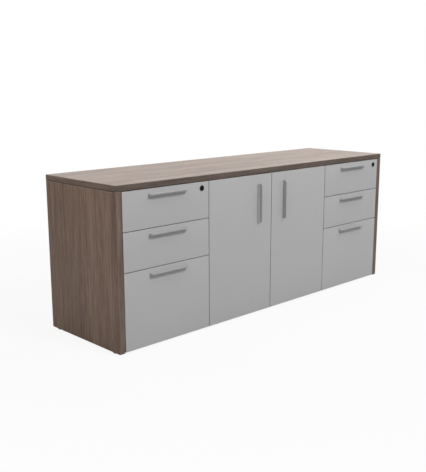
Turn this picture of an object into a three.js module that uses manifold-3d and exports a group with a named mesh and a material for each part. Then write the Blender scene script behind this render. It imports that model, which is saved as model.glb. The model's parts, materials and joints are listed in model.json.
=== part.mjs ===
// Office credenza: a wood-grain case with a drawer pedestal at each end and a two-door
// cabinet between them. Millimetres, +X to the right seen from the front, the front facing
// -Y, +Z up, and the origin on the floor under the middle of the overall box.

import * as THREE from 'three';
import { mergeVertices } from 'three/addons/utils/BufferGeometryUtils.js';
import Module from 'manifold-3d';

const wasm = await Module();
wasm.setup();

// Case
const WIDTH = 1829;
const DEPTH = 505;
const HEIGHT = 698.5;
const TOP = 25.4; // thickness of the top
const PANEL = 28.5; // thickness of the end panels
const BOARD = 19; // thickness of the partitions, bottom and shelf
const BACK_BOARD = 12;
const BACK_INSET = 2;
const EDGE_EASE = 1; // chamfer along panel edges
const SEAM_X = 412; // middle of each partition, from the centre line
const BOTTOM_Z = 16; // underside of the bottom panel
const SHELF_Z = 330; // underside of the shelf
const SHELF_SETBACK = 20;

// Levelling glides
const GLIDE_RISE = 4; // height of the end panels above the floor
const GLIDE_RADIUS = 13;
const GLIDE_BEVEL = 1; // round the foot's lower edge
const GLIDE_SHOULDER = 3; // slope on top of the foot
const GLIDE_INSET = 45; // from the front and back edges
const STEM_RADIUS = 4;
const STEM_LENGTH = 25;
const STEM_CLEARANCE = 0.5;

// Doors and drawer fronts
const FRONT = 18; // thickness
const REVEAL = 3; // gap round every front
const FRONT_LOW_Z = 7;
const FILE_SEAM_Z = 340; // middle of the gap over the file drawers
const BOX_SEAM_Z = 507; // middle of the gap over the middle drawers
const CASE_GAP = 4.5; // from the backs of the fronts to the edges of the case

// Lip pulls
const PULL_LENGTH = 184;
const PULL_OUT = 20;
const PULL_HEIGHT = 13; // of the flange, lip included
const PULL_LIP = 4; // thickness of the lip
const PULL_FLANGE = 4; // thickness of the flange on the front
const PULL_FILLET = 5; // in the corner that fingertips reach
const PULL_EASE = 0.75;
const DRAWER_PULL_DROP = 20; // from the front's top edge to the lip's upper face
const DOOR_PULL_X = 85; // from the centre line to the lip's flat face
const DOOR_PULL_Z = 535;

// Drawer bodies
const SHEET = 2; // folded steel sheet
const RIM = 8; // width of the inward rim
const BODY_GAP = 13.25; // from each side of a body to the case
const BODY_LIFT = 12; // from a box front's bottom edge to its body
const BOX_HEIGHT = 95;
const BOX_DEPTH = 430;
const BOX_RAIL_Z = 38; // rail middle above the body's underside
const FILE_LIFT = 34;
const FILE_HEIGHT = 250;
const FILE_DEPTH = 440;
const FILE_RAIL_Z = 60;
const HANGER_X = 163; // hanging rails for files, from the drawer's middle
const HANGER_HEIGHT = 16;
const WELD = 0.5; // depth that joined steel pieces share

// Runners: distances out from the case wall, and half heights about the rail's middle
const BOX_RUNNER = { near: 0, far: 9.75, half: 20, lip: 10, wall: 1.5 };
const BOX_RAIL = { near: 3.25, far: 6.75, half: 16.75, stem: 8.5 };
const FILE_RUNNER = { near: 0, far: 10.25, half: 21, lip: 13.5, wall: 1.25 };
const FILE_CARRIAGE = { near: 2.5, far: 8, half: 18.75, lip: 12, wall: 1.25 };
const FILE_RAIL = { near: 4.5, far: 6, half: 16.25, stem: 9.5 };
const RAIL_FRONT_Y = 44;
const RUNNER_FRONT_Y = 46;
const RUNNER_BACK_Y = 478;
const RAIL_END_GAP = 2; // from a rail's rear end to the back of its body
const TIE_GAP = 3.5; // from the file body to the tie across its carriage
const TIE = 2.5;
const TIE_HALF = 8;
const TIE_MARGIN = 1; // carriage members past the tie

// Door hinges, about the pivot
const PIVOT_EDGE = 9.5; // from the door's hinge edge
const PIVOT_DEPTH = 7.5; // behind the door's face
const HINGE_INSET_Z = 92; // from the door's top and bottom edges
const PIN_RADIUS = 1.5;
const EYE_BORE = 1.8;
const EYE_RADIUS = 2.9;
const ARM_HALF = 7; // half height of the arm
const ARM_STRAP = 2.5;
const ARM_REACH = 20; // out along the door
const ARM_RISE = 19; // back from the pivot
const PLATE_HALF = 24;
const PLATE_GAP = 1; // from the partition's front edge
const PLATE_LENGTH = 46;
const CUP = { low: -4, high: 21, deep: -3.5, half: 7.5 }; // inside of the cup
const CUP_WALL = 1;
const CUP_FLANGE = 1.5;
const FLANGE = { low: -7, high: 27, half: 24 };
const MORTISE_GAP = 0.25;

// Locks
const LOCK_INSET = 41; // from the right edge of each top front
const LOCK_DROP = 27.1; // from the top edge of each top front
const LOCK_HEAD_RADIUS = 9.5;
const LOCK_HEAD = 2;
const LOCK_HEAD_GAP = 0.25;
const BARREL_RADIUS = 8;
const BARREL_CLEARANCE = 0.5;
const BARREL_BACK = 1.5; // past the back of the front
const KEYWAY = { width: 1.75, height: 9, depth: 1.25 };
const CRANK_RADIUS = 5.5;
const CRANK_ANGLE = Math.PI / 4; // below level when unlocked, above it when locked
const CRANK_PIN_RADIUS = 2;
const CRANK_PIN_BACK = 33;
const BAR = { near: 0.5, far: 2, front: 26, back: 41 };
const BAR_LOW_Z = 50;
const HOOK = { out: 10.5, front: 37.5, height: 10, gap: 1.5 };
const LUG = { near: 3.25, far: 11, front: 42.5, back: 45.5, high: -8, low: -26.5 };
const TAB = { front: 26, back: 28.5, half: 6, overhang: 12 };
const WINDOW_GAP_X = 0.75;
const WINDOW_GAP_Z = 0.5;

// Places worked out from the dimensions, with y counted back from the front plane
const FRONT_Y = (PULL_OUT - DEPTH) / 2;
const TOP_Z = HEIGHT - TOP;
const END_X = WIDTH / 2 - PANEL;
const CASE_Y = FRONT + CASE_GAP;
const BACK_Y = DEPTH - BACK_INSET - BACK_BOARD;
const FRONT_HIGH_Z = TOP_Z - REVEAL;
const PARTITION_X = SEAM_X - BOARD / 2; // face on the cabinet side
const PEDESTAL_HALF = (END_X - SEAM_X - BOARD / 2) / 2;
const PEDESTAL_X = END_X - PEDESTAL_HALF;
const BODY_HALF = PEDESTAL_HALF - BODY_GAP;
const ROUND = 24; // sides of small round pieces
const OVERCUT = 1; // how far a cutting shape passes the surface

const DRAWERS = [
  { name: 'file_drawer', low: FRONT_LOW_Z, high: FILE_SEAM_Z - REVEAL / 2, file: true },
  { name: 'middle_drawer', low: FILE_SEAM_Z + REVEAL / 2, high: BOX_SEAM_Z - REVEAL / 2 },
  { name: 'top_drawer', low: BOX_SEAM_Z + REVEAL / 2, high: FRONT_HIGH_Z, locked: true },
];

function finish(color, roughness, metalness) {
  return () => new THREE.MeshStandardMaterial({ color, roughness, metalness });
}

const walnut = finish(0x6e6056, 0.5, 0);
const grey = finish(0xa9a9a9, 0.55, 0);
const inside = finish(0x8d8984, 0.6, 0);
const satinMetal = finish(0x9e9e9e, 0.4, 0.8);
const paintedSteel = finish(0x55575a, 0.5, 0.4);
const zincSteel = finish(0xb4b6b8, 0.35, 0.9);
const blackMetal = finish(0x1a1a1a, 0.4, 0.6);
const nylon = finish(0xd6d3ca, 0.6, 0);

function place(parent, name, geometry, material, x = 0, y = 0, z = 0) {
  const mesh = new THREE.Mesh(geometry, material());
  mesh.name = name;
  mesh.position.set(x, y, z);
  parent.add(mesh);
  return mesh;
}

function solid(geometry) {
  const bare = geometry.index ? geometry.toNonIndexed() : geometry.clone();
  bare.deleteAttribute('normal');
  bare.deleteAttribute('uv');
  const merged = mergeVertices(bare);
  const vertProperties = merged.attributes.position.array;
  const triVerts = new Uint32Array(merged.index.array);
  return new wasm.Manifold(new wasm.Mesh({ numProp: 3, vertProperties, triVerts }));
}

function surface(manifold) {
  const mesh = manifold.getMesh();
  const geometry = new THREE.BufferGeometry();
  geometry.setAttribute('position', new THREE.Float32BufferAttribute(mesh.vertProperties, 3));
  geometry.setIndex(new THREE.Uint32BufferAttribute(mesh.triVerts, 1));
  geometry.computeVertexNormals();
  return geometry;
}

function join(...pieces) {
  return surface(pieces.map(solid).reduce((sum, piece) => sum.add(piece)));
}

function cut(geometry, ...tools) {
  return surface(tools.map(solid).reduce((rest, tool) => rest.subtract(tool), solid(geometry)));
}

function box(low, high) {
  const size = high.map((value, axis) => value - low[axis]);
  const middle = high.map((value, axis) => (value + low[axis]) / 2);
  return new THREE.BoxGeometry(...size).translate(...middle);
}

// Box between x = a and x = b in either order, so that a piece can be made for either hand
function handedBox(a, b, low, high) {
  return box([Math.min(a, b), ...low], [Math.max(a, b), ...high]);
}

function cylinderY(radius, from, to, x = 0, z = 0) {
  const length = to - from;
  return new THREE.CylinderGeometry(radius, radius, length, ROUND).translate(x, (from + to) / 2, z);
}

function cylinderZ(radius, from, to, x = 0, y = 0) {
  const upright = new THREE.CylinderGeometry(radius, radius, to - from, ROUND).rotateX(Math.PI / 2);
  return upright.translate(x, y, (from + to) / 2);
}

// Outline extruded along one axis; its own two axes are the next two in the order x, y, z
function extrude(shape, axis, from, to, ease = 0) {
  const geometry = new THREE.ExtrudeGeometry(shape, {
    depth: to - from - 2 * ease,
    curveSegments: 4,
    bevelEnabled: ease > 0,
    bevelThickness: ease,
    bevelSize: ease,
    bevelOffset: -ease,
    bevelSegments: 1,
  });
  const unit = [0, 1, 2].map((index) => new THREE.Vector3().setComponent(index, 1));
  const turn = new THREE.Matrix4().makeBasis(unit[(axis + 1) % 3], unit[(axis + 2) % 3], unit[axis]);
  return geometry.translate(0, 0, from + ease).applyMatrix4(turn);
}

function outline(points) {
  return new THREE.Shape(points.map(([a, b]) => new THREE.Vector2(a, b)));
}

// Board with eased edges round its two broad faces, which lie across the given axis
function board(axis, low, high) {
  const a = (axis + 1) % 3;
  const b = (axis + 2) % 3;
  const corners = [[low[a], low[b]], [high[a], low[b]], [high[a], high[b]], [low[a], high[b]]];
  return extrude(outline(corners), axis, low[axis], high[axis], EDGE_EASE);
}

// Lipped steel channel along Y, opening away from the case wall at wallX
function channel(profile, wallX, outward, from, to) {
  const { near, far, half, lip, wall } = profile;
  const section = [
    [-half, near], [-half, far], [-lip, far], [-lip, far - wall],
    [wall - half, far - wall], [wall - half, near + wall],
    [half - wall, near + wall], [half - wall, far - wall],
    [lip, far - wall], [lip, far], [half, far], [half, near],
  ];
  return extrude(outline(section.map(([z, out]) => [z, wallX + outward * out])), 1, from, to);
}

// T-shaped drawer rail, its head in the channel and its stem welded to the body's side
function rail(profile, side, middleZ, from, to) {
  const { near, far, half, stem } = profile;
  const wallX = side * PEDESTAL_HALF;
  const head = handedBox(
    wallX - side * near, wallX - side * far, [from, middleZ - half], [to, middleZ + half],
  );
  const web = handedBox(
    wallX - side * (far - WELD), side * (BODY_HALF - WELD), [from, middleZ - stem], [to, middleZ + stem],
  );
  return [head, web];
}

// Lug on the front end of the right-hand rail, which the lock bar's hook catches
function lockLug(middleZ) {
  const wallX = PEDESTAL_HALF;
  return box(
    [wallX - LUG.far, LUG.front, middleZ + LUG.low], [wallX - LUG.near, LUG.back, middleZ + LUG.high],
  );
}

// Lip pull along X: its flange stands on the plane y = 0, and its lip's flat face is up, at z = 0
function pull() {
  const cornerY = -PULL_FLANGE;
  const shape = new THREE.Shape();
  shape.moveTo(0, 0);
  shape.lineTo(-PULL_OUT, 0);
  shape.lineTo(-PULL_OUT, -PULL_LIP);
  shape.lineTo(cornerY - PULL_FILLET, -PULL_LIP);
  shape.quadraticCurveTo(cornerY, -PULL_LIP, cornerY, -PULL_LIP - PULL_FILLET);
  shape.lineTo(cornerY, -PULL_HEIGHT);
  shape.lineTo(0, -PULL_HEIGHT);
  return extrude(shape, 0, -PULL_LENGTH / 2, PULL_LENGTH / 2, PULL_EASE);
}

function glide() {
  const profile = [
    [0, 0], [GLIDE_RADIUS - GLIDE_BEVEL, 0], [GLIDE_RADIUS, GLIDE_BEVEL],
    [GLIDE_RADIUS, GLIDE_RISE - GLIDE_SHOULDER / 2], [GLIDE_RADIUS - GLIDE_SHOULDER, GLIDE_RISE],
    [STEM_RADIUS, GLIDE_RISE], [STEM_RADIUS, GLIDE_RISE + STEM_LENGTH],
    [0, GLIDE_RISE + STEM_LENGTH],
  ];
  const points = profile.map(([radius, z]) => new THREE.Vector2(radius, z));
  return new THREE.LatheGeometry(points, ROUND).rotateX(Math.PI / 2);
}

// Top, end panels, back, bottom, partitions, shelf and glides
function addCase(parent) {
  const top = board(2, [-WIDTH / 2, 0, TOP_Z], [WIDTH / 2, DEPTH, HEIGHT]);
  place(parent, 'top_panel', top, walnut);
  const back = board(1, [-END_X, BACK_Y, FRONT_LOW_Z], [END_X, BACK_Y + BACK_BOARD, TOP_Z]);
  place(parent, 'back_panel', back, walnut);
  const bottomTop = BOTTOM_Z + BOARD;
  const bottom = board(2, [-END_X, CASE_Y, BOTTOM_Z], [END_X, BACK_Y, bottomTop]);
  place(parent, 'bottom_panel', bottom, inside);
  const shelfLow = [-PARTITION_X, CASE_Y + SHELF_SETBACK, SHELF_Z];
  const shelf = board(2, shelfLow, [PARTITION_X, BACK_Y, SHELF_Z + BOARD]);
  place(parent, 'shelf', shelf, inside);

  for (const side of [-1, 1]) {
    const hand = side < 0 ? 'left' : 'right';
    const glideX = side * (END_X + PANEL / 2);
    const glideYs = { front: GLIDE_INSET, rear: DEPTH - GLIDE_INSET };
    const outerX = side * WIDTH / 2;
    const innerX = side * END_X;
    const end = board(
      0, [Math.min(outerX, innerX), 0, GLIDE_RISE], [Math.max(outerX, innerX), DEPTH, TOP_Z],
    );
    const socketTop = GLIDE_RISE + STEM_LENGTH + 2 * STEM_CLEARANCE;
    const sockets = Object.values(glideYs).map(
      (y) => cylinderZ(STEM_RADIUS + STEM_CLEARANCE, 0, socketTop, glideX, y),
    );
    place(parent, `${hand}_end_panel`, cut(end, ...sockets), walnut);
    for (const [row, y] of Object.entries(glideYs)) {
      place(parent, `${hand}_${row}_glide`, glide(), nylon, glideX, y);
    }
    const middleX = side * SEAM_X;
    const partition = board(
      0, [middleX - BOARD / 2, CASE_Y, bottomTop], [middleX + BOARD / 2, BACK_Y, TOP_Z],
    );
    place(parent, `${hand}_partition`, partition, inside);
  }
}

// Hinge arm about its pivot: an eye, a gooseneck strap and a plate on the partition
function hingeArm(inward) {
  const strap = (fromU, toU, fromV, toV) => handedBox(
    inward * fromU, inward * toU, [fromV, -ARM_HALF], [toV, ARM_HALF],
  );
  const wallU = PARTITION_X - (SEAM_X - REVEAL / 2 - PIVOT_EDGE);
  const plateV = CASE_Y + PLATE_GAP - PIVOT_DEPTH;
  const arm = join(
    cylinderZ(EYE_RADIUS, -ARM_HALF, ARM_HALF),
    strap(0, ARM_REACH, -ARM_STRAP / 2, ARM_STRAP / 2),
    strap(ARM_REACH - ARM_STRAP, ARM_REACH, -ARM_STRAP / 2, ARM_RISE),
    strap(-wallU, ARM_REACH, ARM_RISE - ARM_STRAP, ARM_RISE),
    handedBox(
      -inward * wallU, inward * (ARM_STRAP - wallU),
      [plateV, -PLATE_HALF], [plateV + PLATE_LENGTH, PLATE_HALF],
    ),
  );
  return cut(arm, cylinderZ(EYE_BORE, -ARM_HALF - OVERCUT, ARM_HALF + OVERCUT));
}

// Hinge cup about the same pivot: a tray let into the door, with the pin across it
function hingeCup(inward) {
  const { low, high, deep, half } = CUP;
  const doorBack = FRONT - PIVOT_DEPTH;
  const flangeBack = doorBack + CUP_FLANGE;
  const outerHalf = half + CUP_WALL;
  const tray = join(
    handedBox(
      inward * (low - CUP_WALL), inward * (high + CUP_WALL),
      [deep - CUP_WALL, -outerHalf], [flangeBack, outerHalf],
    ),
    handedBox(
      inward * FLANGE.low, inward * FLANGE.high,
      [doorBack, -FLANGE.half], [flangeBack, FLANGE.half],
    ),
  );
  const hollow = handedBox(
    inward * low, inward * high, [deep, -half], [flangeBack + OVERCUT, half],
  );
  return join(cut(tray, hollow), cylinderZ(PIN_RADIUS, -half - CUP_WALL / 2, half + CUP_WALL / 2));
}

function hingeMortise(inward, pivotX, z) {
  const { low, high, deep, half } = CUP;
  const grow = CUP_WALL + MORTISE_GAP;
  return handedBox(
    pivotX + inward * (low - grow), pivotX + inward * (high + grow),
    [PIVOT_DEPTH + deep - grow, z - half - grow], [FRONT + OVERCUT, z + half + grow],
  );
}

// One door with its pull, hinge cups and hinge arms
function addDoor(parent, side) {
  const hand = side < 0 ? 'left' : 'right';
  const inward = -side;
  const hingeEdge = side * (SEAM_X - REVEAL / 2);
  const meetingEdge = side * REVEAL / 2;
  const pivotX = hingeEdge + inward * PIVOT_EDGE;
  const hinges = { lower: FRONT_LOW_Z + HINGE_INSET_Z, upper: FRONT_HIGH_Z - HINGE_INSET_Z };
  const blank = board(
    1,
    [Math.min(hingeEdge, meetingEdge), 0, FRONT_LOW_Z],
    [Math.max(hingeEdge, meetingEdge), FRONT, FRONT_HIGH_Z],
  );
  const mortises = Object.values(hinges).map((z) => hingeMortise(inward, pivotX, z));
  place(parent, `${hand}_door`, cut(blank, ...mortises), grey);
  const handle = place(
    parent, `${hand}_door_pull`, pull(), satinMetal, side * DOOR_PULL_X, 0, DOOR_PULL_Z,
  );
  handle.rotation.y = inward * Math.PI / 2;
  for (const [row, z] of Object.entries(hinges)) {
    const cupName = `${hand}_${row}_hinge_cup`;
    const armName = `${hand}_${row}_hinge_arm`;
    place(parent, cupName, hingeCup(inward), zincSteel, pivotX, PIVOT_DEPTH, z);
    place(parent, armName, hingeArm(inward), zincSteel, pivotX, PIVOT_DEPTH, z);
  }
}

// Steel drawer body, its underside at z = 0: an open box with a rim, two rails and a lug
function drawerBody(file) {
  const height = file ? FILE_HEIGHT : BOX_HEIGHT;
  const back = FRONT + (file ? FILE_DEPTH : BOX_DEPTH);
  const railZ = file ? FILE_RAIL_Z : BOX_RAIL_Z;
  const shell = cut(
    box([-BODY_HALF, FRONT, 0], [BODY_HALF, back, height]),
    box([SHEET - BODY_HALF, FRONT + SHEET, SHEET], [BODY_HALF - SHEET, back - SHEET, height - SHEET]),
    box([RIM - BODY_HALF, FRONT + RIM, SHEET], [BODY_HALF - RIM, back - RIM, height + OVERCUT]),
  );
  const rails = [-1, 1].flatMap((side) => rail(
    file ? FILE_RAIL : BOX_RAIL, side, railZ, RAIL_FRONT_Y, back - RAIL_END_GAP,
  ));
  const hangers = file ? [-1, 1].map((side) => box(
    [side * HANGER_X - SHEET / 2, FRONT + WELD, height - HANGER_HEIGHT],
    [side * HANGER_X + SHEET / 2, back - WELD, height],
  )) : [];
  return join(shell, ...rails, lockLug(railZ), ...hangers);
}

// Middle members of a file drawer's runners, tied together behind the drawer
function carriage() {
  const tieFront = FRONT + FILE_DEPTH + TIE_GAP;
  const tieBack = tieFront + TIE;
  const tieHalf = PEDESTAL_HALF - FILE_CARRIAGE.near;
  const members = [-1, 1].map((side) => channel(
    FILE_CARRIAGE, side * PEDESTAL_HALF, -side, RUNNER_FRONT_Y, tieBack + TIE_MARGIN,
  ));
  const tie = box([-tieHalf, tieFront, -TIE_HALF], [tieHalf, tieBack, TIE_HALF]);
  return join(...members, tie);
}

// Lock plug about its own axis: a head, a barrel through the front and a crank pin
function lockPlug() {
  const headFront = -LOCK_HEAD - LOCK_HEAD_GAP;
  const barrelEnd = FRONT + BARREL_BACK;
  const crank = -CRANK_RADIUS * Math.cos(CRANK_ANGLE);
  const plug = join(
    cylinderY(LOCK_HEAD_RADIUS, headFront, -LOCK_HEAD_GAP),
    cylinderY(BARREL_RADIUS, -LOCK_HEAD_GAP - WELD, barrelEnd),
    cylinderY(CRANK_PIN_RADIUS, barrelEnd - WELD, CRANK_PIN_BACK, crank, crank),
  );
  const { width, height, depth } = KEYWAY;
  const keyway = box(
    [-width / 2, headFront - OVERCUT, -height / 2], [width / 2, headFront + depth, height / 2],
  );
  return cut(plug, keyway);
}

// Lock bar on the pedestal's right wall, with a hook under each drawer's lug and a windowed
// tab round the crank pin
function lockBar(lockX, lockZ, hookTops) {
  const wallX = PEDESTAL_HALF;
  const pinZ = lockZ - CRANK_RADIUS * Math.sin(CRANK_ANGLE);
  const reach = [CRANK_RADIUS, CRANK_RADIUS * Math.cos(CRANK_ANGLE)];
  const windowX = [lockX - reach[0] - CRANK_PIN_RADIUS, lockX - reach[1] + CRANK_PIN_RADIUS];
  const windowHalf = CRANK_PIN_RADIUS + WINDOW_GAP_Z;
  const strip = box(
    [wallX - BAR.far, BAR.front, BAR_LOW_Z], [wallX - BAR.near, BAR.back, pinZ + TAB.half],
  );
  const hooks = hookTops.map((top) => box(
    [wallX - HOOK.out, HOOK.front, top - HOOK.height], [wallX - BAR.near, BAR.back, top],
  ));
  const tab = box(
    [lockX - TAB.overhang, TAB.front, pinZ - TAB.half], [wallX - BAR.near, TAB.back, pinZ + TAB.half],
  );
  const opening = box(
    [windowX[0] - WINDOW_GAP_X, TAB.front - OVERCUT, pinZ - windowHalf],
    [windowX[1] + WINDOW_GAP_X, TAB.back + OVERCUT, pinZ + windowHalf],
  );
  return cut(join(strip, ...hooks, tab), opening);
}

// One drawer: front, pull, body and the two runners on the case
function addDrawer(parent, hand, drawer, edges) {
  const { name, low, high, file, locked } = drawer;
  const [left, right] = edges;
  const bodyZ = low + (file ? FILE_LIFT : BODY_LIFT);
  const railZ = bodyZ + (file ? FILE_RAIL_Z : BOX_RAIL_Z);
  const blank = board(1, [left, 0, low], [right, FRONT, high]);
  const lockX = right - LOCK_INSET;
  const lockZ = high - LOCK_DROP;
  const hole = cylinderY(
    BARREL_RADIUS + BARREL_CLEARANCE, -OVERCUT, FRONT + OVERCUT, lockX, lockZ,
  );
  const handleX = (left + right) / 2;
  const handleZ = high - DRAWER_PULL_DROP;
  place(parent, `${hand}_${name}_front`, locked ? cut(blank, hole) : blank, grey);
  place(parent, `${hand}_${name}_pull`, pull(), satinMetal, handleX, 0, handleZ);
  place(parent, `${hand}_${name}_body`, drawerBody(file), paintedSteel, 0, 0, bodyZ);
  for (const side of [-1, 1]) {
    const runner = channel(
      file ? FILE_RUNNER : BOX_RUNNER, side * PEDESTAL_HALF, -side, RUNNER_FRONT_Y, RUNNER_BACK_Y,
    );
    const wall = side < 0 ? 'left' : 'right';
    place(parent, `${hand}_${name}_${wall}_runner`, runner, zincSteel, 0, 0, railZ);
  }
  if (file) {
    place(parent, `${hand}_${name}_carriage`, carriage(), zincSteel, 0, 0, railZ);
  }
  if (locked) {
    place(parent, `${hand}_lock_plug`, lockPlug(), blackMetal, lockX, 0, lockZ);
  }
  return { hookTop: railZ + LUG.low - HOOK.gap, lockX, lockZ };
}

// Three drawers and the bar that locks them
function addPedestal(parent, side) {
  const hand = side < 0 ? 'left' : 'right';
  const pedestal = new THREE.Group();
  pedestal.position.x = side * PEDESTAL_X;
  parent.add(pedestal);
  const seamEdge = side * (SEAM_X + REVEAL / 2 - PEDESTAL_X);
  const endEdge = side * (END_X - REVEAL - PEDESTAL_X);
  const edges = [Math.min(seamEdge, endEdge), Math.max(seamEdge, endEdge)];
  const drawers = DRAWERS.map((drawer) => addDrawer(pedestal, hand, drawer, edges));
  const { lockX, lockZ } = drawers.at(-1);
  const bar = lockBar(lockX, lockZ, drawers.map((drawer) => drawer.hookTop));
  place(pedestal, `${hand}_lock_bar`, bar, zincSteel);
}

const credenza = new THREE.Group();
const framework = new THREE.Group();
framework.position.y = FRONT_Y;
credenza.add(framework);
addCase(framework);
for (const side of [-1, 1]) {
  addDoor(framework, side);
  addPedestal(framework, side);
}

export default credenza;
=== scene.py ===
"""Finish of an office credenza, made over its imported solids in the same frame, in metres.

Wood-grain boards with edge bands, grey fronts, lip pulls, locks, folded steel drawers on their
runners, concealed hinges, and the studio that they are seen in.
"""
import json
import math
from contextlib import contextmanager

import bmesh
import bpy
from mathutils import Matrix, Vector


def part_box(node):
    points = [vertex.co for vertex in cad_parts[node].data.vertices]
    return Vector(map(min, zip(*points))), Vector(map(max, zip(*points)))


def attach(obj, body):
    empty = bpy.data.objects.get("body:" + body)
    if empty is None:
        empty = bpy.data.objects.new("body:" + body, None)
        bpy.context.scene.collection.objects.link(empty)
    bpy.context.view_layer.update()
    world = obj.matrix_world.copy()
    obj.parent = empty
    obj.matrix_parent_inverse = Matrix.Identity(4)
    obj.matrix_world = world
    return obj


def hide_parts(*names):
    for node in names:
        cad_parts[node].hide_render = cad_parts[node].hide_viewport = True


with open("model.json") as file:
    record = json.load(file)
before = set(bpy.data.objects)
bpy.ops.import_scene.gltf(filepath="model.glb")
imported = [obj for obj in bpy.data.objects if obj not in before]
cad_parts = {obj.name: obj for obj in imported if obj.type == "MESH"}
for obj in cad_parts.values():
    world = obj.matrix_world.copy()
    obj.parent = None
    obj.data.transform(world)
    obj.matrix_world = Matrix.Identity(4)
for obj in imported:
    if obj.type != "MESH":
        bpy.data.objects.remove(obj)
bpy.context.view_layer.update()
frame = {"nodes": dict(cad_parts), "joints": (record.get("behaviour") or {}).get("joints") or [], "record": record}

record = frame["record"]
BODY = {node: body for body, nodes in record["behaviour"]["bodies"].items() for node in nodes}
SLOT = {part["node"]: part["material_slot"] for part in record["subparts"]}
JOINT_AT = {joint["name"]: Vector(joint.get("pos_m", (0, 0, 0))) for joint in frame["joints"]}

MM = 0.001
X, Y, Z = range(3)
UP = Vector((0, 0, 1))
HANDS = ("left", "right")
ROWS = ("front", "rear")
HINGES = ("lower", "upper")
DRAWERS = ("top_drawer", "middle_drawer", "file_drawer")
NEAR = 0.02 * MM  # places closer than this are the same
SQUARE = 0.99  # least cosine of directions that count as alike
FLAT_ANGLE = math.radians(1)  # edges flatter than this are only the seams of facets
FOLD_ANGLE = math.radians(50)  # edges sharper than this are folds or corners
SMOOTH_ANGLE = math.radians(25)

# Sides of round pieces
ROD_SIDES = 32
PIN_SIDES = 20
SCREW_SIDES = 24
LOCK_SIDES = 48
BEZEL_SIDES = 64
CLIP_SIDES = 6

# Boards and bands
EDGE_BAND = 3 * MM
THIN_BAND = 1 * MM
BAND_ROUND = 2.4 * MM
BAND_SHARE = 0.8  # most of a band's thickness that its rounding takes
JOINT_LINE = 0.2 * MM  # hairline where a band meets its board
TOP_GAP = 2.2 * MM  # between the top and the end panels
TOP_GROOVE = 2 * MM  # rounding of the end panels next to that gap
TOP_REBATE = 4 * MM  # depth of the gap, inside which the panels reach the top
BOARD_ROUND = 0.4 * MM
FRONT_ROUND = 0.8 * MM
FRONT_BAND_LINE = 0.4 * MM  # from the rounding to the line of the band
GROOVE = 0.12 * MM

# Lip pulls
PULL_FLANGE = 4 * MM
PULL_LIP = 4 * MM
PULL_FILLET = 5 * MM
PULL_CORNER = 8 * MM
FLANGE_CORNER = 3.5 * MM
PULL_ROUND = 0.8 * MM
PULL_SCREW_INSET = 28 * MM
DRAWER_PULL_MORE = 10 * MM  # by which each end of a drawer's pull passes the end of its solid

# Steel drawers
SIDE_GAP = 13.25 * MM  # from the case's walls to the drawer's sides
SHEET = 1.2 * MM
RIM = 8 * MM
HEM = 5 * MM
FOLD = 1.5 * MM
BEAD_MARGIN = 28 * MM
BEAD_SLOPE = 4 * MM
BEAD_DEPTH = 1.5 * MM
BEAD_ABOVE_RAIL = 22 * MM
HANGER_INSET = 55.75 * MM  # from the drawer's sides to its hanging rails
HANGER_SIZE = (2 * MM, 16 * MM)
HANGER_HOOK = 3 * MM

# Rails and runners: near and far are from the case's wall, half and stem are half of a height
BOX_RAIL = {"near": 3.25 * MM, "far": 6.75 * MM, "half": 16.75 * MM, "stem": 8.5 * MM}
FILE_RAIL = {"near": 4.5 * MM, "far": 6 * MM, "half": 16.25 * MM, "stem": 9.5 * MM}
BOX_RUNNER = {"lip": 10 * MM, "wall": 1.5 * MM}
FILE_RUNNER = {"lip": 7.5 * MM, "wall": 1.25 * MM}
CARRIAGE = {"lip": 6.75 * MM, "wall": 1.25 * MM}
CARRIAGE_FAR = 5.5 * MM
TIE = {"back": 1 * MM, "thick": 2.5 * MM, "half": 8 * MM}
RAIL_LEAD = 2 * MM  # rails start this far in front of their runners
RAIL_TAIL = 2 * MM
RAIL_ROUND = 0.35 * MM
RAIL_GROOVE = (4 * MM, 1 * MM, 0.5 * MM)  # margin, slope and depth
LUG = {"near": 3.25 * MM, "far": 11 * MM, "lead": 1.5 * MM, "thick": 3 * MM}
LUG_LOW = -26.5 * MM  # from the rail's middle, as is the next
LUG_HIGH = -8 * MM
RUNNER_SCREWS = (0.06, 0.45, 0.9)  # places along a runner, as shares of its length

# Hinges
CUP_FLANGE = 2.75 * MM
CUP_HIGH = 17.5 * MM
CUP_GAP = 0.3 * MM
MORTISE_ROUND = 0.5 * MM
HINGE_ROUND = 0.4 * MM
PLATE_THICK = 2.5 * MM
PLATE_SCREW_BACK = 14 * MM  # from the plate's rear edge
FLANGE_SCREW = 17 * MM  # from a hinge's middle, up and down
PLATE_SCREW = 16 * MM

# Locks
BEZEL_RADIUS = 12 * MM
BEZEL_PROUD = 2.25 * MM
BEZEL_ROUND = 0.4 * MM
CORE_RADIUS = 6.5 * MM
CORE_GAP = 0.15 * MM
CORE_SUNK = 0.5 * MM
CORE_RIM = (0.5 * MM, 0.25 * MM)  # width and depth of the dished face's rim
CORE_RING = 1 * MM
CORE_ROUND = 0.15 * MM
LOCK_HOLE_GAP = 1.8 * MM
KEYWAY = (1.8 * MM, 8 * MM)
KEYWAY_DEPTH = 4 * MM
BARREL_BACK = 1.5 * MM
CAM_RADIUS = 7.8 * MM
CAM_THICK = 2 * MM
CRANK = 5.5 * MM * math.sqrt(0.5)
PIN_RADIUS = 2 * MM
PIN_BACK = 33 * MM
CLIP_RADIUS = 11.5 * MM
CLIP_THICK = 1.2 * MM
LOCK_LIFT = 7.8 * MM
LOCK_STRIP = 1.5 * MM
STRIP_ROUND = 0.25 * MM
GUIDE_HEIGHTS = (0.23, 0.46)
GUIDE_SLOT = (5.2 * MM, 16 * MM)
GUIDE_PLAY = 0.2 * MM
SLOT_DEPTH = 4 * MM
SLOT_ROUND = 0.45  # of the slot's width

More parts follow.
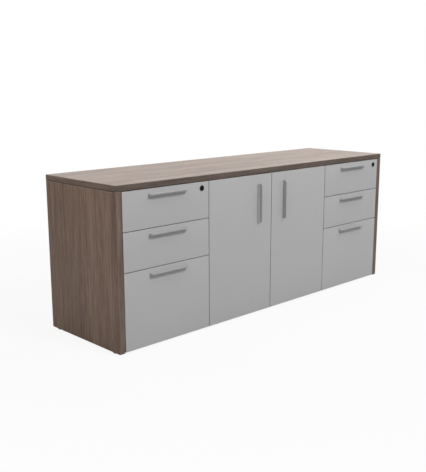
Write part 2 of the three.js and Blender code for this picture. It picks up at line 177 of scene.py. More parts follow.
# Fixings
SMALL_ROUND = 0.2 * MM
SCREW_RADIUS = 3.5 * MM
SCREW_HIGH = 1.4 * MM
SCREW_ROUND = 0.5 * MM
RECESS = (0.9 * MM, 4 * MM, 0.8 * MM)  # width, length and depth of the cross recess
PANEL_SCREW_INSET = 60 * MM
PANEL_SCREW_EDGE = 25 * MM
BACK_HEIGHTS = (0.12, 0.25, 0.44, 0.59)
BACK_COLUMNS = {"bottom_panel": (-0.72, -0.2, 0.2, 0.72), "shelf": (-0.2, 0.2)}
BORE_STEP = 32 * MM
BORE_COUNT = 11
BORE_RADIUS = 2.5 * MM
BORE_DEPTH = 10 * MM
BORE_INSET = 52 * MM  # from the partition's front and back edges
BORE_PLAY = 0.1 * MM
PADDLE = (7 * MM, 9 * MM, 2 * MM)  # width, length and thickness
PADDLE_ROUND = PADDLE[0] / 3
BUMPER_RADIUS = 5 * MM
BUMPER_HIGH = 4.2 * MM
BUMPER_INSET = 30 * MM

# Feet
FOOT_RADIUS = 13 * MM
FOOT_FLUTES = 36
FOOT_HIGH = 3.8 * MM
FOOT_BEVEL = 0.8 * MM
FOOT_SHOULDER = 2.5 * MM
FOOT_SLOPE = 1 * MM
FLUTE_MARGIN = 0.35 * MM
FLUTE_DEPTH = 0.4 * MM
STEM_RADIUS = 4 * MM
SOCKET_GAP = 0.5 * MM

# Modelling helpers


def deselect():
    bpy.ops.object.select_all(action="DESELECT")


def take(piece):
    """Makes a piece the active one and the only one selected."""
    deselect()
    piece.select_set(True)
    bpy.context.view_layer.objects.active = piece


def settle(piece):
    """Puts a piece's place into its mesh, so that its object sits at the origin."""
    take(piece)
    bpy.ops.object.transform_apply(location=True, rotation=True, scale=True)
    return piece


def discard(piece):
    take(piece)
    bpy.ops.object.delete()


def named(name):
    piece = bpy.context.object
    piece.name = name
    piece.data.name = name
    return piece


def block(name, low, high):
    low, high = Vector(low), Vector(high)
    deselect()
    bpy.ops.mesh.primitive_cube_add(size=1, location=(low + high) / 2, scale=high - low)
    return settle(named(name))


def rod(name, radius, start, end, sides=ROD_SIDES):
    start, end = Vector(start), Vector(end)
    deselect()
    bpy.ops.mesh.primitive_cylinder_add(
        vertices=sides, radius=radius, depth=(end - start).length,
        location=(start + end) / 2, rotation=UP.rotation_difference(end - start).to_euler(),
    )
    return settle(named(name))


def copy_of(piece, name, place, turn=(0, 0, 0)):
    """A copy of a piece, with its own mesh, turned about the origin and then moved."""
    take(piece)
    bpy.ops.object.duplicate()
    twin = named(name)
    twin.rotation_euler = turn
    twin.location = place
    return settle(twin)


def centre_of(node):
    low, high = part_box(node)
    return (low + high) / 2


@contextmanager
def editing(piece):
    take(piece)
    bpy.ops.object.mode_set(mode="EDIT")
    yield
    bpy.ops.object.mode_set(mode="OBJECT")


def pick(kind, test):
    """Selects the edges or faces, of the piece being edited, that pass a test."""
    bpy.ops.mesh.select_mode(type=kind)
    bpy.ops.mesh.select_all(action="DESELECT")
    mesh = bpy.context.object.data
    shape = bmesh.from_edit_mesh(mesh)
    for part in shape.faces if kind == "FACE" else shape.edges:
        if test(part):
            part.select_set(True)
    bmesh.update_edit_mesh(mesh)


def pick_all():
    bpy.ops.mesh.select_all(action="SELECT")


def same(first, second):
    return abs(first - second) < NEAR


def facing(axis, sign):
    return lambda face: face.normal[axis] * sign > SQUARE


def across(axis):
    return lambda face: abs(face.normal[axis]) > SQUARE


def is_fold(edge):
    return len(edge.link_faces) == 2 and edge.calc_face_angle() > FOLD_ANGLE


def folds_at(axis, place):
    return lambda edge: is_fold(edge) and same(middle_of(edge)[axis], place)


def along(edge, axis):
    start, end = (vert.co for vert in edge.verts)
    return abs((end - start).normalized()[axis]) > SQUARE


def middle_of(edge):
    start, end = (vert.co for vert in edge.verts)
    return (start + end) / 2


def edges_at(axis, **places):
    """Edges along an axis whose middles are at one of the places given for each coordinate."""

    def test(edge):
        middle = middle_of(edge)
        return along(edge, axis) and all(
            any(same(getattr(middle, name), value) for value in values) for name, values in places.items()
        )

    return test


def on_outline(low, high):
    """Edges where two sides of the box between two corners meet."""

    def test(edge):
        start, end = (vert.co for vert in edge.verts)
        still = [axis for axis in (X, Y, Z) if same(start[axis], end[axis])]
        outer = [same(start[axis], low[axis]) or same(start[axis], high[axis]) for axis in still]
        return len(still) == 2 and all(outer)

    return test


def every(part):
    return True


def bevel(test, offset, segments=3):
    """Bevels the edges, of the piece being edited, that pass a test."""
    pick("EDGE", test)
    bpy.ops.mesh.bevel(offset=offset, segments=segments, affect="EDGES")


def bevel_piece(piece, test, offset, segments=3):
    with editing(piece):
        bevel(test, offset, segments)


def extrude(move):
    bpy.ops.mesh.extrude_region_move(TRANSFORM_OT_translate={"value": move})


def inset(thickness, depth=0.0, each=False):
    bpy.ops.mesh.inset(thickness=thickness, depth=depth, use_individual=each)


def groove(margin, slope, depth):
    """Cuts a groove round the selected faces, inside a margin."""
    inset(margin)
    inset(slope, -depth)
    inset(slope, depth)


def cut_level(height, **settings):
    """Cuts the piece being edited at a height."""
    pick_all()
    bpy.ops.mesh.bisect(plane_co=(0, 0, height), plane_no=UP, **settings)


def apply_modifier(piece, kind, **settings):
    take(piece)
    modifier = piece.modifiers.new(kind.lower(), kind)
    for name, value in settings.items():
        setattr(modifier, name, value)
    bpy.ops.object.modifier_apply(modifier=modifier.name)


def soften(piece, width, segments=2):
    apply_modifier(
        piece, "BEVEL", width=width, segments=segments, limit_method="ANGLE", angle_limit=FOLD_ANGLE
    )


def solidify(piece, thickness):
    """Gives folded sheet its thickness, inwards."""
    with editing(piece):
        pick_all()
        bpy.ops.mesh.normals_make_consistent(inside=False)
    apply_modifier(piece, "SOLIDIFY", thickness=thickness, offset=-1, use_even_offset=True)


def carve(piece, cutter):
    """Takes the cutter's shape out of a piece."""
    apply_modifier(piece, "BOOLEAN", operation="DIFFERENCE", object=cutter, solver="EXACT")
    discard(cutter)


def join(name, pieces):
    take(pieces[0])
    for piece in pieces[1:]:
        piece.select_set(True)
    bpy.ops.object.join()
    return named(name)


def smooth(piece):
    take(piece)
    bpy.ops.object.shade_smooth_by_angle(angle=SMOOTH_ANGLE)
    apply_modifier(piece, "WEIGHTED_NORMAL", keep_sharp=True)
    return piece


def softened_solid(name, node, width):
    """A copy of a solid with its facets merged and its edges rounded."""
    piece = bpy.data.objects.new(name, frame["nodes"][node].data.copy())
    piece.data.name = name
    bpy.context.scene.collection.objects.link(piece)
    with editing(piece):
        pick_all()
        bpy.ops.mesh.remove_doubles(threshold=NEAR)
        bpy.ops.mesh.dissolve_limited(angle_limit=FLAT_ANGLE)
    soften(piece, width)
    return piece


def mark_edges(piece):
    """Marks the rounded edges of a piece, for finishes that wear there."""
    mark = piece.data.attributes.new("edge", "FLOAT", "FACE")
    for face, value in zip(piece.data.polygons, mark.data):
        value.value = 0.0 if max(abs(part) for part in face.normal) > SQUARE else 1.0


def mark_painted_light_rise(piece, low, high):
    """Marks how far up its front each point of a piece is, from 0 to 1, for the painted light that brightens each
    front toward its top edge.
    """
    mark = piece.data.attributes.new("rise", "FLOAT", "POINT")
    for vert, value in zip(piece.data.vertices, mark.data):
        value.value = (vert.co.z - low.z) / (high.z - low.z)


def wear(piece, node, finish, slot=None):
    """Gives a piece its finish and makes it ride with a node's body."""
    mark_edges(piece)
    piece.data.materials.clear()
    piece.data.materials.append(finish)
    slot or SLOT[node]
    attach(piece, BODY[node])


def wear_zinc(piece, node):
    wear(piece, node, zinc, "plated_steel")


def stand_for(piece, node, finish):
    wear(piece, node, finish)
    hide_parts(node)


def repeat(piece, nodes, suffix):
    """Copies a shape made at the first of some like nodes to the others: pairs of node and piece."""
    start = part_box(nodes[0])[0]
    copies = [copy_of(piece, node + suffix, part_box(node)[0] - start) for node in nodes[1:]]
    return zip(nodes, [piece] + copies)


# Finishes


def linear(part):
    """Linear value of a part of a screen colour, which goes from 0 to 255."""
    part = part / 255
    return part / 12.92 if part <= 0.04045 else ((part + 0.055) / 1.055) ** 2.4


def linear_colors(*colors):
    return [tuple(linear(part) for part in color) + (1.0,) for color in colors]


# Colours: dark, middle, light and pores of wood, and two near tones and a rubbed one of the rest
TOP_TONES = linear_colors((82, 66, 53), (110, 90, 76), (137, 117, 102), (67, 52, 41))
WALNUT_TONES = linear_colors((85, 66, 52), (109, 86, 71), (132, 108, 91), (68, 52, 41))
BAND_TONES = linear_colors((62, 51, 43), (76, 63, 55), (92, 78, 68), (49, 40, 33))
STRIP_TONES = linear_colors((73, 58, 47), (93, 76, 65), (112, 95, 82), (59, 46, 37))
# Grey fronts: painted shade at the bottom of each front, painted light at its top
PAINTED_SHADE_GREY_TONES = linear_colors((161, 161, 161), (164, 164, 164))
PAINTED_LIGHT_GREY_TONES = linear_colors((166, 166, 166), (169, 169, 169))
INNER_TONES = linear_colors((150, 147, 142), (157, 154, 149))
PULL_TONES = linear_colors((159, 159, 160), (168, 168, 169), (186, 186, 186))
STEEL_TONES = linear_colors((82, 84, 87), (90, 92, 95), (150, 150, 148))
ZINC_TONES = linear_colors((165, 168, 172), (205, 207, 209))
BLACK_TONES = linear_colors((11, 11, 12), (17, 17, 18), (60, 58, 55))
NYLON_TONES = linear_colors((210, 207, 198), (220, 217, 209))
RUBBER_TONES = linear_colors((168, 166, 160), (180, 178, 172))

# Least and most roughness
TOP_GLOSS = (0.31, 0.4)
WOOD_GLOSS = (0.4, 0.5)
FRONT_GLOSS = (0.42, 0.54)
INNER_GLOSS = (0.5, 0.62)
PULL_GLOSS = (0.36, 0.48)
PAINT_GLOSS = (0.42, 0.58)
ZINC_GLOSS = (0.28, 0.45)
LOCK_GLOSS = (0.3, 0.45)
NYLON_GLOSS = (0.45, 0.6)
RUBBER_GLOSS = (0.5, 0.65)

# Relief: strength and height
WOOD_RELIEF = (0.25, 0.12 * MM)
PLAIN_RELIEF = (0.2, 0.05 * MM)
PULL_RELIEF = (0.15, 0.03 * MM)
PAINT_RELIEF = (0.35, 0.08 * MM)
ZINC_RELIEF = (0.1, 0.04 * MM)
LOCK_RELIEF = (0.1, 0.02 * MM)

# Mottle: scales of its drift and of its stipple
FINE_MOTTLE = (3.0, 1600.0)
PAINT_MOTTLE = (9.0, 900.0)
PLASTIC_MOTTLE = (40.0, 900.0)
LOCK_MOTTLE = (150.0, 3000.0)

# Wear of edges, and other finishes
WOOD_WEAR = 0.35
PULL_WEAR = 0.5
PAINT_WEAR = 1.0
LOCK_WEAR = 0.12
WEAR_EDGE = (0.42, 0.68)  # noise at which wear starts, and at which it is full
CHIPS = (0.75, 0.95)  # wear at which paint starts to chip, and at which it is gone
PULL_METAL = 0.35
LOCK_SHINE = 0.12
MIDDLE_NOISE = (0.3, 0.7)  # range in which most of a noise lies
WIPE_SCALE = (9, 60, 24)
WIPE_TURN = (0.3, 0.5, 0.4)
BRUSH_LINES = (14, 2600, 2600)
BRUSH_CLOUD = (10, 40, 40)
BRUSH_NOISE = (0.35, 0.65)
CRYSTAL_SCALE = 210.0
CRYSTAL_SWAY = 130.0
CRYSTAL_SWAY_REACH = (0.004, 0.004, 0.004)
CRYSTAL_TONES = (0.2, 0.8)
SCUFF = (300, 300, 300)
GRAIN_TURN = {X: (0, 0, 0), Y: (0, 0, -math.pi / 2), Z: (0, math.pi / 2, 0)}

# Wood grain: scales along and across it, detail, roughness and share of each layer's tone
GRAIN_COLORS = ("Dark", "Middle", "Light", "Pore")
GRAIN_LAYERS = {
    "broad": ((0.6, 19, 19), 2.0, 0.5, 0.27),
    "streak": ((5, 120, 120), 3.0, 0.55, 0.35),
    "fleck": ((15, 260, 260), 3.0, 0.6, 0.28),
    "fibre": ((30, 900, 900), 2.0, 0.5, 0.1),
}
GRAIN_SWAY = (1.3, 5, 5)
GRAIN_SWAY_REACH = (0, 0.014, 0.014)
DARK_TO_MIDDLE = (0.4, 0.5)  # tones between which one colour turns into the next
MIDDLE_TO_LIGHT = (0.5, 0.6)
PORE_SCALE = (70, 1900, 1900)
PORE_EDGE = (0.6, 0.72)
PORE_SHARE = 0.35

# Sockets that several shader groups have
TWO_COLORS = {"Vector": "Vector", "First": "Color", "Second": "Color"}
COLOR_AND_HEIGHT = {"Color": "Color", "Height": "Float"}


def feed(tree, socket, value):
    if isinstance(value, bpy.types.NodeSocket):
        tree.links.new(value, socket)
    else:
        socket.default_value = value


def put(tree, kind, inputs, **settings):
    node = tree.nodes.new("ShaderNode" + kind)
    for name, value in settings.items():
        setattr(node, name, value)
    for name, value in inputs.items():
        feed(tree, node.inputs[name], value)
    return node


def math_of(tree, operation, first, second):
    return put(tree, "Math", {0: first, 1: second}, operation=operation).outputs[0]


def weighted(tree, parts):
    """Sum of values, each times its weight."""
    total = 0.0
    for value, weight in parts:
        node = put(tree, "Math", {0: value, 1: weight, 2: total}, operation="MULTIPLY_ADD")
        total = node.outputs[0]
    return total


def mapped(tree, vector, scale, rotation=(0, 0, 0), location=(0, 0, 0)):
    inputs = {"Vector": vector, "Scale": scale, "Rotation": rotation, "Location": location}
    return put(tree, "Mapping", inputs).outputs[0]


def noise_node(tree, vector, scale, detail=2.0, roughness=0.5):
    """Noise with one scale, or with a scale for each axis."""
    if isinstance(scale, tuple):
        vector, scale = mapped(tree, vector, scale), 1.0
    inputs = {"Vector": vector, "Scale": scale, "Detail": detail, "Roughness": roughness}
    return put(tree, "TexNoise", inputs)


def noise(*given, **settings):
    return noise_node(*given, **settings).outputs["Fac"]


def swayed(tree, vector, scale, reach):
    """A place moved about a little by noise."""
    inputs = {0: noise_node(tree, vector, scale).outputs["Color"], 1: reach, 2: vector}
    return put(tree, "VectorMath", inputs, operation="MULTIPLY_ADD").outputs[0]


def spread(tree, value, low, high, to_low=0.0, to_high=1.0):
    inputs = {"Value": value, "From Min": low, "From Max": high, "To Min": to_low, "To Max": to_high}
    return put(tree, "MapRange", inputs).outputs[0]


def mix(tree, factor, first, second):
    return put(tree, "Mix", {0: factor, 6: first, 7: second}, data_type="RGBA").outputs[2]


def attribute(tree, name):
    return put(tree, "Attribute", {}, attribute_name=name).outputs["Fac"]


def shader_group(name, inputs, outputs):
    """An empty shader group, with what it is given and what it makes."""
    tree = bpy.data.node_groups.new(name, "ShaderNodeTree")
    for in_out, sockets in (("INPUT", inputs), ("OUTPUT", outputs)):
        for label, kind in sockets.items():
            tree.interface.new_socket(label, in_out=in_out, socket_type="NodeSocket" + kind)
    given = tree.nodes.new("NodeGroupInput").outputs
    made = tree.nodes.new("NodeGroupOutput").inputs
    return tree, given, made


def use(tree, group, inputs):
    node = tree.nodes.new("ShaderNodeGroup")
    node.node_tree = group
    for name, value in inputs.items():
        feed(tree, node.inputs[name], value)
    return node.outputs


def wood_grain_group():
    """Printed wood grain along X: broad streaks, finer streaks, fibres and short pores."""
    inputs = {"Vector": "Vector", **{label: "Color" for label in GRAIN_COLORS}}
    tree, given, made = shader_group("wood_grain", inputs, COLOR_AND_HEIGHT)
    bent = swayed(tree, given["Vector"], GRAIN_SWAY, GRAIN_SWAY_REACH)
    layers = {name: noise(tree, bent, *layer[:3]) for name, layer in GRAIN_LAYERS.items()}
    tone = weighted(tree, [(layers[name], layer[3]) for name, layer in GRAIN_LAYERS.items()])
    shade = mix(tree, spread(tree, tone, *DARK_TO_MIDDLE), given["Dark"], given["Middle"])
    shade = mix(tree, spread(tree, tone, *MIDDLE_TO_LIGHT), shade, given["Light"])
    pores = spread(tree, noise(tree, bent, PORE_SCALE, detail=1.0), *PORE_EDGE)
    pored = mix(tree, math_of(tree, "MULTIPLY", pores, PORE_SHARE), shade, given["Pore"])
    feed(tree, made["Color"], pored)
    feed(tree, made["Height"], math_of(tree, "SUBTRACT", layers["fibre"], pores))
    return tree


def mottle_group():
    """Slow drift between two near colours, with a fine stipple."""
    inputs = {**TWO_COLORS, "Drift": "Float", "Stipple": "Float"}
    tree, given, made = shader_group("mottle", inputs, COLOR_AND_HEIGHT)
    drift = noise(tree, given["Vector"], given["Drift"], detail=4.0, roughness=0.6)
    stipple = noise(tree, given["Vector"], given["Stipple"])
    both = weighted(tree, ((spread(tree, drift, *MIDDLE_NOISE), 0.6), (stipple, 0.4)))
    feed(tree, made["Color"], mix(tree, both, given["First"], given["Second"]))
    feed(tree, made["Height"], stipple)
    return tree


def gloss_group():
    """Roughness that drifts between two values, with faint wiping marks."""
    inputs = {"Vector": "Vector", "Low": "Float", "High": "Float"}
    tree, given, made = shader_group("uneven_gloss", inputs, {"Roughness": "Float"})
    cloud = noise(tree, given["Vector"], 5.0, detail=4.0, roughness=0.65)
    slant = mapped(tree, given["Vector"], WIPE_SCALE, WIPE_TURN)
    wipe = noise(tree, slant, 1.0, detail=3.0)
    both = weighted(tree, ((cloud, 0.65), (wipe, 0.35)))
    feed(tree, made["Roughness"], spread(tree, both, *MIDDLE_NOISE, given["Low"], given["High"]))
    return tree


def brushed_group():
    """Fine brushing along X."""
    tree, given, made = shader_group("brushed", TWO_COLORS, COLOR_AND_HEIGHT)
    line = noise(tree, given["Vector"], BRUSH_LINES, detail=3.0, roughness=0.6)
    cloud = noise(tree, given["Vector"], BRUSH_CLOUD, detail=3.0)
    both = weighted(tree, ((line, 0.6), (cloud, 0.4)))
    between = spread(tree, both, *BRUSH_NOISE)
    feed(tree, made["Color"], mix(tree, between, given["First"], given["Second"]))
    feed(tree, made["Height"], line)
    return tree


def edge_wear_group():
    """Broken wear along marked edges."""
    inputs = {"Vector": "Vector", "Edge": "Float", "Amount": "Float"}
    tree, given, made = shader_group("edge_wear", inputs, {"Mask": "Float"})
    broken = noise(tree, given["Vector"], 70.0, detail=5.0, roughness=0.7)
    worn_off = math_of(tree, "MULTIPLY", spread(tree, broken, *WEAR_EDGE), given["Edge"])
    feed(tree, made["Mask"], math_of(tree, "MULTIPLY", worn_off, given["Amount"]))
    return tree


def spangle_group():
    """Crystals of zinc plate, each a little lighter or darker."""
    tree, given, made = shader_group("spangle", TWO_COLORS, {"Color": "Color", "Fleck": "Float"})
    bent = swayed(tree, given["Vector"], CRYSTAL_SWAY, CRYSTAL_SWAY_REACH)
    cells = put(tree, "TexVoronoi", {"Vector": bent, "Scale": CRYSTAL_SCALE})
    fleck = put(tree, "SeparateColor", {"Color": cells.outputs["Color"]}).outputs[0]
    cloud = noise(tree, given["Vector"], 26.0, detail=4.0, roughness=0.6)
    both = weighted(tree, ((fleck, 0.55), (cloud, 0.45)))
    feed(tree, made["Color"], mix(tree, both, given["First"], given["Second"]))
    feed(tree, made["Fleck"], both)
    return tree


WOOD_GRAIN = wood_grain_group()
MOTTLE = mottle_group()
GLOSS = gloss_group()
BRUSHED = brushed_group()
EDGE_WEAR = edge_wear_group()
SPANGLE = spangle_group()


def new_finish(name, **fixed):
    """A material with its tree, its shader and the place on the object that its patterns read."""
    material = bpy.data.materials.new(name)
    material.use_nodes = True
    tree = material.node_tree
    shader = tree.nodes["Principled BSDF"]
    for label, value in fixed.items():
        shader.inputs[label.replace("_", " ")].default_value = value
    place = put(tree, "TexCoord", {}).outputs["Object"]
    return material, tree, shader, place


def raise_surface(tree, shader, height, relief):
    strength, distance = relief
    bump = put(tree, "Bump", {"Height": height, "Strength": strength, "Distance": distance})
    feed(tree, shader.inputs["Normal"], bump.outputs[0])


def worn(tree, place, amount):
    inputs = {"Vector": place, "Edge": attribute(tree, "edge"), "Amount": amount}
    return use(tree, EDGE_WEAR, inputs)["Mask"]


def mottled(tree, place, first, second, scales):
    drift, stipple = scales
    inputs = {"Vector": place, "First": first, "Second": second, "Drift": drift, "Stipple": stipple}
    return use(tree, MOTTLE, inputs)


def coat(tree, shader, place, color, gloss, height, relief):
    """Gives a shader its colour, an uneven gloss and a relief."""
    feed(tree, shader.inputs["Base Color"], color)
    made = use(tree, GLOSS, {"Vector": place, "Low": gloss[0], "High": gloss[1]})
    feed(tree, shader.inputs["Roughness"], made["Roughness"])
    raise_surface(tree, shader, height, relief)


def walnut(name, axis, tones, gloss=WOOD_GLOSS, shift=0.0):
    """Wood-grain laminate with its grain along an axis."""
    material, tree, shader, place = new_finish(name)
    turned = mapped(tree, place, (1, 1, 1), GRAIN_TURN[axis], (shift, shift, shift))
    made = use(tree, WOOD_GRAIN, {"Vector": turned, **dict(zip(GRAIN_COLORS, tones))})
    rubbed = mix(tree, worn(tree, place, WOOD_WEAR), made["Color"], tones[2])
    coat(tree, shader, place, rubbed, gloss, made["Height"], WOOD_RELIEF)
    return material


def laminate(name, tones, gloss, scales=FINE_MOTTLE, painted_light_tones=None):
    """Plain laminate or plastic with a fine stipple; where painted light tones are given, painted light brightens
    it up a front from painted shade at its bottom.
    """
    material, tree, shader, place = new_finish(name)
    if painted_light_tones:
        # Painted light: each front goes from painted shade at its bottom to painted light at its top edge
        rise = attribute(tree, "rise")
        tones = [mix(tree, rise, low, high) for low, high in zip(tones, painted_light_tones)]
    made = mottled(tree, place, *tones, scales)
    coat(tree, shader, place, made["Color"], gloss, made["Height"], PLAIN_RELIEF)
    return material


def satin_metal(name, axis):
    """Satin grey metal brushed along an axis, brighter where its edges are rubbed."""
    material, tree, shader, place = new_finish(name, Metallic=PULL_METAL)
    turned = mapped(tree, place, (1, 1, 1), GRAIN_TURN[axis])
    first, second, bright = PULL_TONES
    made = use(tree, BRUSHED, {"Vector": turned, "First": first, "Second": second})
    rubbed = mix(tree, worn(tree, place, PULL_WEAR), made["Color"], bright)
    coat(tree, shader, place, rubbed, PULL_GLOSS, made["Height"], PULL_RELIEF)
    return material


def powder_coat(name):
    """Powder-coated steel with an orange-peel skin and small chips on its folds."""
    material, tree, shader, place = new_finish(name)
    first, second, chip = STEEL_TONES
    made = mottled(tree, place, first, second, PAINT_MOTTLE)
    chips = spread(tree, worn(tree, place, PAINT_WEAR), *CHIPS)
    chipped = mix(tree, chips, made["Color"], chip)
    coat(tree, shader, place, chipped, PAINT_GLOSS, made["Height"], PAINT_RELIEF)
    return material


def zinc_plate(name):
    material, tree, shader, place = new_finish(name, Metallic=1.0)
    made = use(tree, SPANGLE, {"Vector": place, "First": ZINC_TONES[0], "Second": ZINC_TONES[1]})
    feed(tree, shader.inputs["Base Color"], made["Color"])
    feed(tree, shader.inputs["Roughness"], spread(tree, made["Fleck"], *CRYSTAL_TONES, *ZINC_GLOSS))
    raise_surface(tree, shader, noise(tree, place, SCUFF, detail=3.0), ZINC_RELIEF)
    return material


def dark_metal(name):
    """Black lock finish, rubbed at its rims."""
    material, tree, shader, place = new_finish(name, Specular_IOR_Level=LOCK_SHINE)
    first, second, bare = BLACK_TONES
    made = mottled(tree, place, first, second, LOCK_MOTTLE)
    rubbed = mix(tree, worn(tree, place, LOCK_WEAR), made["Color"], bare)
    coat(tree, shader, place, rubbed, LOCK_GLOSS, made["Height"], LOCK_RELIEF)
    return material


walnut_along = walnut("walnut_along", X, TOP_TONES, TOP_GLOSS)
walnut_upright = walnut("walnut_upright", Z, WALNUT_TONES, shift=4.3)
band_along = walnut("band_along", X, BAND_TONES, shift=1.7)
band_deep = walnut("band_deep", Y, STRIP_TONES, shift=2.3)
band_upright = walnut("band_upright", Z, STRIP_TONES, shift=5.9)
# Grey fronts carry painted light, lighter toward each front's top edge and shaded toward its bottom
grey_face_painted_light = laminate("grey_face_painted_light", PAINTED_SHADE_GREY_TONES, FRONT_GLOSS, painted_light_tones=PAINTED_LIGHT_GREY_TONES)
inner_face = laminate("inner_face", INNER_TONES, INNER_GLOSS)
pull_level = satin_metal("pull_level", X)
pull_upright = satin_metal("pull_upright", Z)
drawer_paint = powder_coat("drawer_paint")
zinc = zinc_plate("zinc")
lock_black = dark_metal("lock_black")
nylon = laminate("nylon", NYLON_TONES, NYLON_GLOSS, PLASTIC_MOTTLE)
rubber = laminate("rubber", RUBBER_TONES, RUBBER_GLOSS, PLASTIC_MOTTLE)

# Case


def faced_board(name, node, sides, band, finish):
    """A board with a band on each of the given sides; later bands butt against earlier ones."""
    low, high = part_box(node)
    outline = on_outline(low.copy(), high.copy())
    strips = []
    for label, axis, sign, band_finish in sides:
        strip_low, strip_high = low.copy(), high.copy()
        if sign < 0:
            low[axis] += band
            strip_high[axis] = low[axis]
        else:
            high[axis] -= band
            strip_low[axis] = high[axis]
        strip = block(f"{name}_{label}_band", strip_low, strip_high)
        bevel_piece(strip, outline, min(BAND_ROUND, band * BAND_SHARE))
        wear(strip, node, band_finish)
        strips.append(strip)
    core = block(f"{name}_board", low, high)
    bevel_piece(core, every, JOINT_LINE, segments=1)
    stand_for(core, node, finish)
    return core, strips


def make_feet():
    """Fluted levelling feet, their stems in sockets in the end panels."""
    nodes = [f"{hand}_{row}_glide" for hand in HANDS for row in ROWS]
    centre = centre_of(nodes[0])
    base = centre.xy.to_3d()

    def is_flute(face):
        out = face.calc_center_median() - centre
        turn = math.atan2(out.y, out.x) / (2 * math.pi) * FOOT_FLUTES
        upright = abs(face.normal.z) < 1 - SQUARE
        return upright and out.xy.length > FOOT_RADIUS / 2 and math.floor(turn) % 2 == 0

    foot = rod(nodes[0] + "_foot", FOOT_RADIUS, base, base + UP * (FOOT_HIGH - FOOT_SLOPE), FOOT_FLUTES)
    with editing(foot):
        pick("FACE", facing(Z, 1))
        inset(FOOT_SHOULDER, FOOT_SLOPE)
        inset(FOOT_RADIUS - FOOT_SHOULDER - STEM_RADIUS)
        extrude((0, 0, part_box(nodes[0])[1].z - FOOT_HIGH))
        bevel(folds_at(Z, 0), FOOT_BEVEL)
        pick("FACE", is_flute)
        inset(FLUTE_MARGIN, -FLUTE_DEPTH, each=True)
    for node, piece in repeat(foot, nodes, "_foot"):
        stand_for(smooth(piece), node, nylon)


def lower_top_edge(board, node):
    """Leaves a shadow line under the top: an end panel's rim stops short, rounded."""
    low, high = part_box(node)
    rim = high.z - TOP_GAP

    def is_rim(edge):
        place = middle_of(edge)
        inside = min(place.x - low.x, high.x - place.x, place.y - low.y, high.y - place.y)
        return folds_at(Z, rim)(edge) and inside < 2 * JOINT_LINE

    with editing(board):
        cut_level(rim, clear_outer=True, use_fill=True)
        bevel(is_rim, TOP_GROOVE)
        pick("FACE", facing(Z, 1))
        inset(TOP_REBATE)
        extrude((0, 0, TOP_GAP))


def carve_sockets(hand, pieces):
    for row in ROWS:
        node = f"{hand}_{row}_glide"
        start = centre_of(node).xy.to_3d()
        end = start + UP * (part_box(node)[1].z + 2 * SOCKET_GAP)
        for piece in pieces:
            carve(piece, rod("socket", STEM_RADIUS + SOCKET_GAP, start, end, SCREW_SIDES))


def cabinet_wall(hand):
    """A partition's face in the cabinet, the way from it into the cabinet, and its bores' depths."""
    low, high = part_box(f"{hand}_partition")
    face, inward = (high.x, 1) if hand == "left" else (low.x, -1)
    return face, inward, (low.y + BORE_INSET, high.y - BORE_INSET)


def carve_bores(hand, board):
    """Two rows of shelf bores in the cabinet's face of a partition."""
    face, inward, depths = cabinet_wall(hand)
    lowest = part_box("shelf")[0].z - BORE_RADIUS - BORE_STEP * (BORE_COUNT // 2)
    for depth in depths:
        start, end = ((face + inward * x, depth, lowest) for x in (MM, -BORE_DEPTH))
        bores = rod("bores", BORE_RADIUS, start, end, PIN_SIDES)
        apply_modifier(
            bores, "ARRAY", count=BORE_COUNT, use_relative_offset=False, use_constant_offset=True,
            constant_offset_displace=(0, 0, BORE_STEP),
        )
        carve(board, bores)


def make_shelf_pins():
    """Four pins in the bores, each with a paddle under the shelf."""
    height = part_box("shelf")[0].z - BORE_RADIUS
    wide, long, thick = PADDLE
    for hand in HANDS:
        face, inward, depths = cabinet_wall(hand)
        for row, depth in zip(ROWS, depths):
            centre = Vector((face, depth, height))
            reach = Vector((inward * long, 0, 0))
            pin = rod("pin", BORE_RADIUS - BORE_PLAY, centre - reach, centre + reach, PIN_SIDES)
            low = centre + Vector((min(0, reach.x), -wide / 2, BORE_RADIUS - thick))
            high = centre + Vector((max(0, reach.x), wide / 2, BORE_RADIUS))
            paddle = block("paddle", low, high)
            bevel_piece(paddle, edges_at(Z, x=[face + reach.x]), PADDLE_ROUND, segments=4)
            pin = join(f"{hand}_{row}_shelf_pin", [pin, paddle])
            soften(pin, SMALL_ROUND)
            wear_zinc(smooth(pin), "shelf")


def make_case():
    top_sides = [
        ("front", Y, -1, band_along), ("rear", Y, 1, band_along),
        ("left", X, -1, band_deep), ("right", X, 1, band_deep),
    ]
    end_sides = [
        ("front", Y, -1, band_upright), ("rear", Y, 1, band_upright), ("bottom", Z, -1, band_deep)
    ]
    inner_sides = [("front", Y, -1, inner_face)]
    faced_board("top", "top_panel", top_sides, EDGE_BAND, walnut_along)
    for hand in HANDS:
        node = f"{hand}_end_panel"
        core, strips = faced_board(f"{hand}_end", node, end_sides, EDGE_BAND, walnut_upright)
        lower_top_edge(core, node)
        carve_sockets(hand, [core, strips[-1]])
        node = f"{hand}_partition"
        core, _ = faced_board(node, node, inner_sides, THIN_BAND, inner_face)
        carve_bores(hand, core)
    for name, node in (("bottom", "bottom_panel"), ("shelf", "shelf")):
        faced_board(name, node, inner_sides, THIN_BAND, inner_face)
    back = block("back_board", *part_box("back_panel"))
    bevel_piece(back, every, BOARD_ROUND, segments=2)
    stand_for(back, "back_panel", walnut_along)


# Fronts


def front_board(name, node):
    """A front with rounded edges and a hairline where its edge band meets each face."""
    piece = block(name, *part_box(node))
    bevel_piece(piece, every, FRONT_ROUND)
    with editing(piece):
        pick("FACE", across(Y))
        groove(FRONT_BAND_LINE, GROOVE, GROOVE)
    return piece


def carve_lock_hole(piece, hand):
    centre = JOINT_AT[f"{hand}_lock_turn"]
    low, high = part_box(f"{hand}_top_drawer_front")
    start, end = ((centre.x, y, centre.z) for y in (low.y - MM, high.y + MM))
    carve(piece, rod("lock_hole", CORE_RADIUS + LOCK_HOLE_GAP, start, end, LOCK_SIDES))


